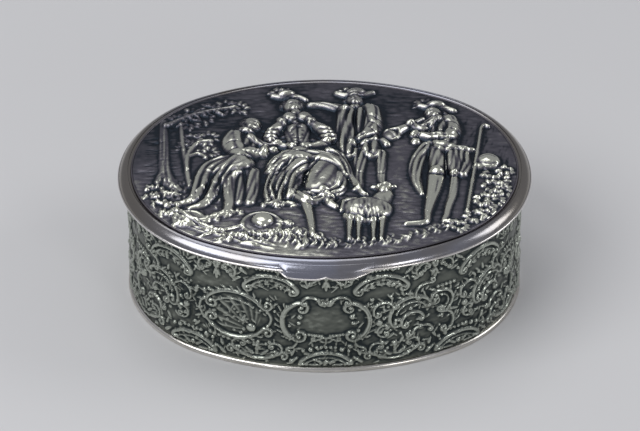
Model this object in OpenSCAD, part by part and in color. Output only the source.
// Oval silver box with embossed scrollwork round its wall and an embossed
// country scene on its hinged lid. Lengths are in millimetres. The box stands
// on z = 0 with its middle at x = 0, y = 0. The front, with the thumb lip and
// the cartouche, is towards -Y, and the hinge is at the back, towards +Y.

/* [Oval] */
// Length of the wall, outside its plain sheet
box_length = 142; // [132:1:150]
// Width of the wall, outside its plain sheet
box_width = 110; // [106:1:116]
// How far the long sides bulge past the two round ends
side_bulge = 5; // [4:0.5:9]

/* [Box] */
// Thickness of the base plate
base_t = 0.7; // [0.6:0.1:1.5]
// Thickness of the embossed outer sheet
sheet_t = 0.5; // [0.4:0.1:0.9]
// Thickness of the plain inner wall
inner_t = 0.5; // [0.4:0.1:1.2]
// Height of the seam, where the lid rests on the box
seam_h = 47; // [42:1:56]
// How far the inner wall rises past the seam, inside the lid
bezel_h = 2.2; // [1:0.1:2.4]
// Radius of the half-round wire at the foot
foot_wire_r = 1.2; // [0.8:0.1:1.6]
// Thickness of the flat wire on the wall's top edge
top_wire_t = 0.8; // [0.5:0.1:1.2]

/* [Scrollwork] */
// Width of the embossed scroll lines
scroll_w = 1.8; // [1.4:0.1:2.2]
// Radius of the rolled buds that end the scrolls
bud_r = 1.35; // [1.1:0.05:1.6]
// Number of arches under the lid
top_arches = 10; // [8:1:12]
// Radius of those arches
top_arch_r = 11.5; // [9:0.5:13]
// How far their crests lie below the top of the wall
top_arch_drop = 4.7; // [4:0.1:6]
// Number of arches at the foot
foot_arches = 8; // [6:1:9]
// Radius of those arches
foot_arch_r = 12; // [9:0.5:13]
// Height of their crests over the foot wire
foot_arch_h = 6.9; // [6:0.1:8]
// Height of the middle of the cartouche
cartouche_h = 22; // [20:0.5:25]

/* [Lid] */
// How far the lid stands out past the wall's sheet
lid_overhang = 3.9; // [3.6:0.1:4.6]
// Radius of the rounded band round the lid
band_r = 3.3; // [2.8:0.1:3.5]
// Thickness of the band and of the ring under it
band_t = 0.5; // [0.4:0.1:0.8]
// Gap between that ring and the inner wall
bezel_gap = 0.3; // [0.2:0.05:0.5]
// Width of the flat ledge that carries the panel
ledge_w = 2.6; // [2.2:0.1:3.2]
// How far the ledge lies below the top of the band
ledge_drop = 0.5; // [0.3:0.1:0.8]
// Radius of the wire round the panel
panel_wire_r = 0.35; // [0.25:0.05:0.45]
// Radius of the wire round the lid's lower edge
edge_wire_r = 0.4; // [0.3:0.05:0.5]
// Thickness of the embossed panel
panel_t = 0.5; // [0.4:0.1:0.8]
// Rise of the panel's middle over its edge
dome_h = 1.1; // [0.5:0.1:2]
// Height of the embossed figures
relief_h = 3.35; // [2.8:0.05:4]
// Number of rings of points that shape the panel
panel_rings = 32; // [20:1:32]

/* [Thumb lip] */
// Width of the thumb lip
lip_width = 33; // [26:1:38]
// How far the lip hangs below the lid
lip_drop = 1.8; // [1.4:0.1:2.4]
// How far the lip flares out
lip_flare = 0.7; // [0.4:0.1:1.2]
// Thickness of the lip
lip_t = 0.6; // [0.4:0.1:0.9]

/* [Hinge] */
// Length of the hinge
hinge_l = 28; // [22:1:32]
// Outer radius of the knuckles
knuckle_r = 1.2; // [1.1:0.05:1.3]
// Radius of the hinge pin
pin_r = 0.55; // [0.45:0.05:0.65]
// Radial clearance of the pin in the lid's knuckles
pin_gap = 0.05; // [0.02:0.01:0.08]
// Gap between one knuckle and the next
knuckle_gap = 0.14; // [0.1:0.02:0.2]
// Gap between the turning knuckles and the plate on the box
barrel_gap = 0.1; // [0.1:0.02:0.2]
// Thickness of the hinge plate on the box at its thinnest
box_plate_t = 0.9; // [0.7:0.1:1.1]
// Height of the hinge plate on the box
box_plate_h = 7.5; // [6:0.5:10]
// Thickness of the hinge plate under the lid
lid_plate_t = 0.55; // [0.4:0.05:0.7]
// Gap between that plate and the knuckles of the box
lid_plate_gap = 0.15; // [0.1:0.05:0.2]
// Angle at which the square heel of the lid's knuckles meets the box's plate
stop_angle = 102; // [100:1:106]

/* [Hidden] */
$fn = 48;

// The oval is drawn from four arcs. The two ends turn about points on the X
// axis and the two long sides about points on the Y axis.
half_l = box_length / 2;
half_w = box_width / 2;
end_r = half_w - side_bulge;
end_c = half_l - end_r;
side_c = (end_c * end_c - side_bulge * side_bulge) / (2 * side_bulge);
side_r = half_w + side_c;
end_turn = atan2(side_c, end_c);
side_turn = 90 - end_turn;
end_arc = end_r * end_turn * PI / 180;
side_arc = side_r * side_turn * PI / 180;
girth = 4 * (end_arc + side_arc);

// Heights and steps that several pieces share.
wall_top = seam_h - top_wire_t;
foot_wire_top = 1.7 * foot_wire_r;
band_c = [lid_overhang - band_r, seam_h + 0.4];
band_top = band_c.y + band_r;
ledge_z = band_top - ledge_drop;
panel_out = band_c.x - ledge_w + 0.8;
wire_out = panel_out + panel_wire_r;

// The hinge lies under the overhang of the lid.
plate_face = half_w + box_plate_t;
axis_y = plate_face + barrel_gap + knuckle_r;
axis_z = seam_h - lid_plate_t - lid_plate_gap - knuckle_r;
knuckle_l = (hinge_l - 4 * knuckle_gap) / 5;
heel = -(barrel_gap + knuckle_r) / (sqrt(2) * cos(45 + stop_angle));

silver = [0.74, 0.73, 0.71];
bright_silver = [0.83, 0.82, 0.80];
dark_silver = [0.55, 0.54, 0.53];
eps = 0.01;

// A point of the oval, moved outwards by out. The share f runs once round,
// anticlockwise from +X, by the length of the arcs.
function quarter_angle(t) = t < end_arc ? t / end_r * 180 / PI : end_turn + (t - end_arc) / side_r * 180 / PI;
function quarter_point(a, out) = a < end_turn
    ? [end_c + (end_r + out) * cos(a), (end_r + out) * sin(a)]
    : [(side_r + out) * cos(a), (side_r + out) * sin(a) - side_c];
function quarter_of(f) = floor(4 * (f - floor(f)));
function quarter_share(f) = 4 * (f - floor(f)) - quarter_of(f);
function turned(f) = quarter_of(f) % 2 == 0 ? quarter_share(f) : 1 - quarter_share(f);
function oval_point(f, out = 0) =
    let (q = quarter_of(f), p = quarter_point(quarter_angle(turned(f) * girth / 4), out))
    [q == 1 || q == 2 ? -p.x : p.x, q > 1 ? -p.y : p.y];
function oval_angle(f) =
    let (q = quarter_of(f), a = quarter_angle(turned(f) * girth / 4))
    q == 0 ? a : q == 1 ? 180 - a : q == 2 ? 180 + a : 360 - a;

// The sector that holds one end of the oval. The sides are cut by the same
// sectors, so that the arcs meet on the same planes.
far = 2 * box_length;
module end_sector(side) {
    polygon([[side * end_c, 0], [side * (end_c + far * cos(end_turn)), far * sin(end_turn)],
             [side * (end_c + far), 0], [side * (end_c + far * cos(end_turn)), -far * sin(end_turn)]]);
}
module side_half(side) {
    translate([-far, side < 0 ? -far : 0]) square([2 * far, far]);
}

// The area inside the oval, moved outwards by out.
module oval_area(out = 0) {
    for (side = [-1, 1]) {
        intersection() {
            translate([side * end_c, 0]) circle(r = end_r + out, $fn = 360);
            end_sector(side);
        }
        difference() {
            intersection() {
                translate([0, -side * side_c]) circle(r = side_r + out, $fn = 360);
                side_half(side);
            }
            for (end = [-1, 1]) end_sector(end);
        }
    }
}

// Sweeps a section round the oval. Its x is the distance outside the wall's
// sheet and its y is the height.
module round_the_oval() {
    for (side = [-1, 1]) {
        intersection() {
            translate([side * end_c, 0, 0]) rotate_extrude($fn = 360) translate([end_r, 0]) children();
            linear_extrude(2 * seam_h) end_sector(side);
        }
        difference() {
            intersection() {
                translate([0, -side * side_c, 0]) rotate_extrude($fn = 360) translate([side_r, 0]) children();
                linear_extrude(2 * seam_h) side_half(side);
            }
            for (end = [-1, 1]) linear_extrude(2 * seam_h) end_sector(end);
        }
    }
}

// Places children on the face of the wall, s along it to the right of the
// front's middle and z up. Their x runs along the wall, their y up and their
// z straight out.
module on_wall(s, z) {
    f = s / girth + 0.75;
    p = oval_point(f);
    translate([p.x, p.y, z]) rotate([90, 0, oval_angle(f) + 90]) children();
}

// One embossed scroll line with chased edges: an arc of radius r about (s, z),
// from the angle from over the angle sweep, with a bud at each end. Its feet
// reach through the sheet, so that it joins the wall where that curves away.
scroll_foot = 3;
scroll_section = scroll_w / 2 * [
    [-1, -scroll_foot], [-1, 0.2], [-0.6, 0.75], [0.6, 0.75], [1, 0.2], [1, -scroll_foot]
];
module scroll(s, z, r, from, sweep, buds = true) {
    shift = r * cos(from + sweep / 2);
    on_wall(s + shift, z) translate([-shift, 0, 0]) rotate([0, 0, from])
        rotate_extrude(angle = sweep, $fn = 32) translate([r, 0]) polygon(scroll_section);
    if (buds) for (a = [from, from + sweep]) bud(s + r * cos(a), z + r * sin(a));
}

module bud(s, z, r = bud_r) {
    on_wall(s, z) sphere(r = r, $fn = 24);
}

// A straight embossed rib, as in a shell, from (s, z) along the angle turn.
rib_scale = 0.75;
module rib(s, z, turn, length) {
    on_wall(s + length / 2 * cos(turn), z + length / 2 * sin(turn))
        rotate([0, 0, turn]) translate([-length / 2, 0, 0]) rotate([90, 0, 90])
            linear_extrude(length) polygon(rib_scale * scroll_section);
}

// An arch with its crest at (s, z). A way of -1 hangs it.
module arch(s, z, r, half_sweep, way = 1) {
    scroll(s, z - way * r, r, way * 90 - half_sweep, 2 * half_sweep);
}

// The blank cartouche: a round bracket on each side, joined by a flat arch
// above and one below.
bracket_r = 9.3;
bracket_x = 6.7;
bracket_half = 78;
arch_r = 16;
arch_lap = 0.6;
module cartouche(s) {
    for (side = [-1, 1])
        scroll(s + side * bracket_x, cartouche_h, bracket_r, 90 - side * 90 - bracket_half, 2 * bracket_half);
    half_span = asin((bracket_x + 1) / arch_r);
    arch_low = arch_r - bracket_r + arch_lap;
    for (way = [-1, 1])
        scroll(s, cartouche_h - way * arch_low, arch_r, way * 90 - half_span, 2 * half_span, false);
}

// An oval shell: a flat arch above and below, and ribs that fan out from a
// point at one side. The outer ribs are short, where the shell closes.
shell_r = 13.5;
shell_drop = 3;
shell_half = 50;
fan_at = [6, -5];
fan_first = 12;
fan_step = 18;
fan_lengths = [8, 11, 11, 11, 8];
module shell(s, side) {
    for (way = [-1, 1]) scroll(s, cartouche_h - way * shell_drop, shell_r, way * 90 - shell_half, 2 * shell_half);
    for (i = [0 : len(fan_lengths) - 1])
        rib(s + side * fan_at.x, cartouche_h + fan_at.y, 90 + side * (fan_first + fan_step * i), fan_lengths[i]);
}

// A cluster of curling scrolls: along the wall and up from the cluster's
// middle, radius, first angle and sweep.
curls = [[-2, -1, 8, 25, 165], [-2, -4, 4.2, 20, 180], [9, 3, 5, -70, 190], [9.5, -6.5, 5, -60, 150]];
module cluster(s, side) {
    for (c = curls) scroll(s + side * c[0], cartouche_h + c[1], c[2], side > 0 ? c[3] : 180 - c[3] - c[4], c[4]);
}

// Arches stand under the lid, with a small swag between neighbours. None lies
// where the hinge plate is.
top_arch_half = 54;
top_swag_r = 4.8;
top_swag_half = 65;
top_swag_drop = 9.3;
function clear_of_hinge(s) = abs(s - girth / 2) > hinge_l / 2 + top_arch_r;
module top_border() {
    step = girth / top_arches;
    for (i = [0 : top_arches - 1]) {
        crest = (i + 0.5) * step;
        if (clear_of_hinge(crest)) arch(crest, wall_top - top_arch_drop, top_arch_r, top_arch_half);
        if (clear_of_hinge(i * step)) arch(i * step, wall_top - top_swag_drop, top_swag_r, top_swag_half, -1);
    }
}

// Arches rise from the foot, with a wide swag between neighbours.
foot_arch_half = 50;
foot_swag_half = 42;
foot_swag_h = 2.1;
module foot_border() {
    step = girth / foot_arches;
    for (i = [0 : foot_arches - 1]) {
        arch(i * step, foot_wire_top + foot_arch_h, foot_arch_r, foot_arch_half);
        arch((i + 0.5) * step, foot_wire_top + foot_swag_h, foot_arch_r, foot_swag_half, -1);
    }
}

// The middle of the wall has twelve fields. The cartouche is repeated at the
// back, and shells and clusters take turns between.
field = girth / 12;
shells_at = [-5, -3, -1, 3, 5];
clusters_at = [-4, -2, 1, 2, 4];
module embossed_wall() {
    color(silver) difference() {
        union() {
            translate([0, 0, base_t]) linear_extrude(wall_top - base_t) oval_area(0);
            top_border();
            foot_border();
            for (i = [0, 6]) cartouche(i * field);
            for (i = shells_at) shell(i * field, sign(i));
            for (i = clusters_at) cluster(i * field, sign(i));
        }
        linear_extrude(seam_h) oval_area(-sheet_t);
    }
}

module base_plate() {
    color(silver) linear_extrude(base_t) oval_area(0);
}

module foot_wire() {
    color(bright_silver) round_the_oval() intersection() {
        translate([0, foot_wire_top - foot_wire_r]) circle(r = foot_wire_r);
        square([foot_wire_r, 2 * foot_wire_r]);
    }
}

module inner_wall() {
    color(bright_silver) round_the_oval()
        translate([-sheet_t - inner_t, base_t]) square([inner_t, seam_h + bezel_h - base_t]);
}

// The flat wire on the wall's top edge, with a rounded nose.
module top_edge_wire() {
    nose = top_wire_t / 2;
    color(bright_silver) round_the_oval() polygon(concat(
        [[-sheet_t, wall_top]],
        [for (a = [-90 : 30 : 90]) [nose * cos(a), wall_top + nose + nose * sin(a)]],
        [[-sheet_t, seam_h]]
    ));
}

// The plate is flat outside and fits the curve of the wall inside.
module box_hinge_plate() {
    color(bright_silver) difference() {
        translate([-hinge_l / 2, half_w - 4, wall_top - box_plate_h])
            cube([hinge_l, plate_face - half_w + 4, box_plate_h]);
        translate([0, 0, -eps]) linear_extrude(2 * seam_h) oval_area(0);
    }
}

function knuckle_x(i) = -hinge_l / 2 + i * (knuckle_l + knuckle_gap);

// The knuckles of the box have a foot that reaches the plate behind them.
module box_knuckle(i) {
    color(bright_silver) translate([knuckle_x(i), axis_y, axis_z]) difference() {
        union() {
            rotate([0, 90, 0]) cylinder(r = knuckle_r, h = knuckle_l);
            translate([0, -knuckle_r - barrel_gap, -knuckle_r]) cube([knuckle_l, knuckle_r + barrel_gap, knuckle_r]);
        }
        translate([-eps, 0, 0]) rotate([0, 90, 0]) cylinder(r = pin_r, h = knuckle_l + 2 * eps);
    }
}

// The knuckles of the lid are square above, where they join its plate, and
// have a square heel below that stops the lid when it stands open.
module lid_knuckle(i) {
    color(bright_silver) translate([knuckle_x(i), axis_y, axis_z]) difference() {
        union() {
            rotate([0, 90, 0]) cylinder(r = knuckle_r, h = knuckle_l);
            translate([0, -knuckle_r, 0]) cube([knuckle_l, 2 * knuckle_r, knuckle_r + lid_plate_gap]);
            translate([0, 0, -heel]) cube([knuckle_l, heel, heel]);
        }
        translate([-eps, 0, 0]) rotate([0, 90, 0]) cylinder(r = pin_r + pin_gap, h = knuckle_l + 2 * eps);
    }
}

module box_knuckle_left() { box_knuckle(0); }
module box_knuckle_middle() { box_knuckle(2); }
module box_knuckle_right() { box_knuckle(4); }
module lid_knuckle_left() { lid_knuckle(1); }
module lid_knuckle_right() { lid_knuckle(3); }

module hinge_pin() {
    color(dark_silver) translate([-hinge_l / 2, axis_y, axis_z]) rotate([0, 90, 0]) cylinder(r = pin_r, h = hinge_l);
}

module lid_hinge_plate() {
    color(bright_silver) intersection() {
        translate([-hinge_l / 2, axis_y - knuckle_r, seam_h - lid_plate_t])
            cube([hinge_l, 2 * knuckle_r + lid_overhang, lid_plate_t]);
        linear_extrude(2 * seam_h) oval_area(lid_overhang - band_t);
    }
}

// The smooth rounded band, bent from sheet, with its ledge for the panel.
module lid_rim() {
    in_r = band_r - band_t;
    in_from = asin((ledge_z - band_t - band_c.y) / in_r);
    color(bright_silver) round_the_oval() polygon(concat(
        [[lid_overhang, seam_h]],
        [for (i = [0 : 8]) band_c + band_r * [cos(90 * i / 8), sin(90 * i / 8)]],
        [[band_c.x, ledge_z], [band_c.x - ledge_w, ledge_z], [band_c.x - ledge_w, ledge_z - band_t]],
        [for (i = [5 : -1 : 0]) band_c + in_r * [cos(in_from * i / 5), sin(in_from * i / 5)]],
        [[lid_overhang - band_t, seam_h]]
    ));
}

module lid_flange() {
    color(silver) round_the_oval()
        translate([bezel_gap - sheet_t, seam_h])
            square([lid_overhang - band_t + sheet_t - bezel_gap, band_t]);
}

module lid_edge_wire() {
    color(bright_silver) round_the_oval() intersection() {
        translate([lid_overhang, seam_h + edge_wire_r]) circle(r = edge_wire_r);
        translate([lid_overhang, seam_h]) square(2 * edge_wire_r);
    }
}

// The wire round the panel is flat below, where it lies on the ledge.
module panel_wire() {
    color(bright_silver) round_the_oval() translate([wire_out, ledge_z + sin(45) * panel_wire_r]) polygon(
        [for (a = [-45 : 30 : 225]) panel_wire_r * [cos(a), sin(a)]]
    );
}

// The outline of the thumb lip, seen from the front: a flat bow of two lobes
// with a notch between them. It starts level with the top of the edge wire.
lip_top = 2 * edge_wire_r;
lobe_from = 0.3;
lobe_to = 0.7;
notch = 0.5;
module lip_outline() {
    w = lip_width / 2;
    steps = 8;
    shoulder = [
        for (i = [0 : steps]) let (a = i / steps) [w * (1 - (1 - lobe_to) * a), -lip_drop * (1 - cos(90 * a)) ^ 0.7]
    ];
    half = concat([[w, lip_top + eps]], shoulder, [[lobe_from * w, -lip_drop], [lobe_from * w / 4, -0.85 * lip_drop]]);
    count = len(half);
    polygon(concat(
        half, [[0, -(1 - notch) * lip_drop]], [for (i = [count - 1 : -1 : 0]) [-half[i].x, half[i].y]]
    ));
}

module thumb_lip() {
    lip_out = lid_overhang + edge_wire_r;
    color(bright_silver) intersection() {
        translate([0, side_c, 0]) rotate([0, 0, -90 - side_turn]) rotate_extrude(angle = 2 * side_turn, $fn = 96)
            translate([side_r + lip_out, seam_h]) polygon([
                [0, lip_top], [0, edge_wire_r], [lip_flare, -lip_drop - eps],
                [lip_flare + lip_t, -lip_drop - eps], [lip_t, edge_wire_r], [lip_t, lip_top]
            ]);
        translate([0, 0, seam_h]) rotate([90, 0, 0]) linear_extrude(box_width) lip_outline();
    }
}

// The scene on the lid, in layers from the back to the front. A layer is how
// far its limbs bulge and then the limbs, each [x1, y1, r1, x2, y2, r2]: a
// rounded form that tapers from one point of the panel to another.
tree = [
    [1.1, [[-59, 29, 2, -58.2, 0, 2.3], [-58.2, 0, 2.4, -54, -13, 2.4], [-52.5, 28, 1.3, -49.5, -10, 1.4]]],
    [0.8, [[-58, 26, 1.8, -46, 34, 2.6], [-46, 34, 3, -32, 37.5, 2.6], [-50, 6, 1.6, -44, 17, 3]]]
];
standing_man = [
    [1.1, [[14, 8, 2.9, 12.8, -12, 1.8], [19.6, 8, 2.7, 20.6, -12, 1.8], [7, 35.5, 2.4, -5, 38.5, 1.8]]],
    [1.15, [[9, 33, 4.6, 8, 12, 4.6], [14.5, 33, 4.8, 17, 8, 4.2]]],
    [1.3, [[18.6, 33, 3, 20.2, 24, 3], [20.2, 24, 2.9, 11.5, 11.5, 2.1], [11.4, 41, 3.3, 11.4, 37, 2.4]]],
    [1.1, [[5, 46, 1.5, 18.4, 46.6, 1.5], [10, 46.4, 2.4, 14, 46.4, 2.4]]]
];
seated_man = [
    [0.8, [[-26, -4, 3.6, -27.5, -19, 2.8], [-31.5, -6, 2.4, -31, -20, 2]]],
    [1.15, [[-29.5, 1, 4.4, -36, -8.5, 3.2], [-36, -8.5, 3, -35, -25, 2], [-35, -26, 2, -41, -28.3, 1.6]]],
    [1.3, [[-32.5, 3, 4.9, -43.3, -4.5, 3.5], [-43.3, -4.5, 3.4, -47.2, -18.5, 2.2], [-47.2, -19, 2.1, -53, -22.2, 1.6],
           [-31, 0, 4.6, -38.8, -8, 3.2], [-38.8, -8, 3.1, -42.6, -20, 2.1], [-42.6, -20.5, 2, -48.5, -25.2, 1.6]]],
    [1.2, [[-31, 18.5, 4.3, -34, 12, 5.4], [-34, 12, 5.4, -31, 2.5, 4.6], [-27.5, 16, 3.4, -27.5, 4, 4]]],
    [1.35, [[-30.5, 17.5, 3.2, -28.6, 11.5, 3], [-28.6, 11.5, 3, -17.5, 8, 1.9], [-26.5, 16.5, 2.3, -17, 12, 1.6],
            [-27, 25.6, 4.3, -27, 24.6, 4.3]]]
];
seated_woman = [
    [1.2, [[-9.2, -16, 2.2, -5.6, -34, 1.7], [-5.4, -36, 1.6, -3.4, -41.6, 1.5], [-0.6, -17, 2, 3.6, -24.4, 1.5]]],
    [1.15, [[-13, 5, 6.5, -20, -13, 3.6], [-20, -13, 3.5, -21.5, -18.5, 2.4], [-10, 3, 6, -15.6, -17, 3.2],
            [-9, 6, 6.6, 1, 5, 6.6], [1, 5, 6.4, 6.2, -7, 4.4]]],
    [1.1, [[-5.5, 0, 7.2, -4, -12, 5.8], [0.5, -2, 6.6, 0.8, -9, 6]]],
    [1.3, [[1.5, 11.5, 1.8, 9, 0, 1.8], [9, 0, 1.7, 14, -15, 1.5], [-10.2, 27, 4.6, -9.4, 13, 3.8],
           [-15.2, 27, 2.8, -5.4, 27, 2.8]]],
    [1.3, [[-16, 25.6, 2.6, -18.8, 16, 2.3], [-18.4, 15, 2.2, -12, 10.6, 1.8], [-4.4, 25.6, 2.6, -1.8, 16, 2.4],
           [-2, 15, 2.3, -7.5, 10.4, 1.8], [-11.8, 37, 4.7, -11.4, 33, 3]]],
    [1.1, [[-19, 44.6, 1.6, -7, 42, 1.5], [-16, 45.6, 2.4, -12, 45.4, 2.4]]]
];
piper = [
    [1.05, [[50, 8, 3, 51, -4.5, 2.4], [36.6, 9, 2.8, 33.2, -6, 2.2], [33.2, -6, 2, 34.8, -14, 1.4],
            [45.2, -5, 2.9, 43, -29.5, 1.7], [43, -30, 1.6, 47.6, -33.2, 1.4]]],
    [1.3, [[41.4, -5, 3.3, 37.6, -29.5, 1.8], [37.6, -30, 1.7, 31.4, -33.2, 1.4]]],
    [1.2, [[42, 3, 4.6, 41.4, -5.6, 3.7], [46.6, 3, 4.2, 45.8, -5.6, 3.2], [43.4, 27, 4.9, 44, 11, 4.9]]],
    [1.3, [[38.4, 12.4, 1.7, 53.6, 10.6, 1.5], [41, 33.6, 4, 41.6, 32, 4], [35.6, 38.6, 1.7, 47.4, 37, 1.6],
           [40, 38.8, 2.3, 44, 38.6, 2.3], [37.2, 30.2, 1.4, 29, 23.6, 1.9], [29, 23.6, 1.9, 24.6, 19.4, 3.5]]],
    [1.4, [[39.6, 26.6, 2.8, 32.6, 25.2, 1.9], [47.8, 25.6, 3.3, 49, 18, 2.9], [49, 18, 2.8, 43, 14.4, 2.5],
           [43, 14.4, 2.4, 34, 20.2, 1.9]]]
];
sheep = [
    [1.1, [[9.6, -30, 1.8, 10, -42, 1.3], [13, -31, 1.5, 13.3, -42, 1.2], [17.4, -31, 1.5, 17.5, -42, 1.2],
           [20.7, -29, 1.7, 20.7, -42, 1.2]]],
    [1.25, [[10.4, -24.6, 5, 19.6, -24, 5.2], [20.2, -20.5, 3.4, 22, -15.6, 2.6], [22.2, -13.4, 2.4, 26.2, -15.6, 1.5]]]
];
ground_things = [
    [1.3, [[57.6, 23.6, 1.4, 50.9, -27.4, 1.4], [59.4, 2.4, 3.9, 58, 0.5, 3.4], [-46, -43.4, 1.4, -30, -38.4, 1.3]]],
    [0.6, [[61, -3.6, 3, 63.6, -8, 3.2], [63.6, -8, 3, 61, -14, 3.4], [57.6, -19, 3, 61, -22, 3],
           [57, -26, 3, 53, -31, 2.8], [-25, -34.6, 5.6, -21, -34.6, 5.6]]],
    [0.6, [[-51, -31, 4.2, -45, -31.6, 4.2], [-61.6, -15, 3, -58.4, -19, 3], [-62, -20, 2.8, -57, -24, 3],
           [-14.4, -36.4, 3, -16.4, -42.4, 3], [-16.4, -42.4, 2.8, -30, -44.6, 2.6]]],
    [1.2, [[-23, -33.6, 3.5, -23, -33.4, 3.5]]]
];
layers = concat(tree, standing_man, seated_man, seated_woman, piper, sheep, ground_things);

// A limb slopes off to its sides by this power, and reaches a little past its
// radius, because the panel's points lie about 2 mm apart.
limb_power = 0.85;
limb_reach = 1.12;

// The share of the way along a limb that lies nearest to the point p.
function nearest(p, limb) =
    let (from = [limb[0], limb[1]], run = [limb[3], limb[4]] - from, len2 = run * run)
    len2 == 0 ? 0 : min(1, max(0, (p - from) * run / len2));
function limb_height(p, limb, bulk) =
    let (t = nearest(p, limb), r = (1 - t) * limb[2] + t * limb[5],
         at = [(1 - t) * limb[0] + t * limb[3], (1 - t) * limb[1] + t * limb[4]],
         d = norm(p - at) / (r * limb_reach))
    d < 1 ? bulk * sqrt(r) * (1 - d * d) ^ limb_power : 0;
function layer_height(p, layer) = max([for (limb = layer[1]) limb_height(p, limb, layer[0])]);

// Each layer presses what lies under it down by a third. The highest places
// are rounded off at relief_h.
layer_press = 0.35;
relief_soft = 2.5;
function stacked(p, i = 0, h = 0) =
    i == len(layers) ? h
    : let (l = layer_height(p, layers[i])) stacked(p, i + 1, h * (1 - layer_press * min(1, l / layer_press)) + l);
function rounded_off(h) =
    h < relief_soft ? h
    : let (room = relief_h - relief_soft, x = exp(2 * (h - relief_soft) / room)) relief_soft + room * (x - 1) / (x + 1);
plain_edge = 0.97;
function relief(p, share) = share > plain_edge ? 0 : rounded_off(stacked(p));
function panel_height(p, share) = dome_h * (1 - share * share) + relief(p, share);

// The panel is a sheet of even thickness. Its points lie on rings, six more
// on each ring than on the one inside it, so that they are evenly spread.
function ring_start(i) = i == 0 ? 0 : 1 + 3 * i * (i - 1);
panel_flat = concat([[0, 0, 0]], [
    for (i = [1 : panel_rings]) for (j = [0 : 6 * i - 1])
        let (share = i / panel_rings, p = share * oval_point(j / (6 * i), panel_out)) [p.x, p.y, share]
]);
panel_count = len(panel_flat);
panel_heights = [for (q = panel_flat) panel_height([q.x, q.y], q.z)];
function on_ring(i, j) = ring_start(i) + (i == 0 ? 0 : j % (6 * i));
panel_faces = [
    for (i = [0 : panel_rings - 1]) for (side = [0 : 5]) each concat(
        [for (k = [0 : i]) [on_ring(i, side * i + k), on_ring(i + 1, side * (i + 1) + k + 1),
                            on_ring(i + 1, side * (i + 1) + k)]],
        i == 0 ? [] : [for (k = [0 : i - 1]) [on_ring(i, side * i + k), on_ring(i, side * i + k + 1),
                                              on_ring(i + 1, side * (i + 1) + k + 1)]]
    )
];
panel_edge = [
    for (j = [0 : 6 * panel_rings - 1])
        let (a = on_ring(panel_rings, j), b = on_ring(panel_rings, j + 1)) each [
            [a, b, b + panel_count], [a, b + panel_count, a + panel_count]
        ]
];

module lid_panel() {
    top = [for (i = [0 : panel_count - 1]) [panel_flat[i].x, panel_flat[i].y, ledge_z + panel_t + panel_heights[i]]];
    under = [for (q = top) [q.x, q.y, q.z - panel_t]];
    color(silver) polyhedron(
        points = concat(top, under),
        faces = concat(panel_faces, [for (t = panel_faces) [for (i = [0, 2, 1]) t[i] + panel_count]], panel_edge)
    );
}

base_plate();
foot_wire();
embossed_wall();
inner_wall();
top_edge_wire();
box_hinge_plate();
box_knuckle_left();
box_knuckle_middle();
box_knuckle_right();
hinge_pin();
lid_panel();
panel_wire();
lid_rim();
lid_flange();
lid_edge_wire();
thumb_lip();
lid_hinge_plate();
lid_knuckle_left();
lid_knuckle_right();
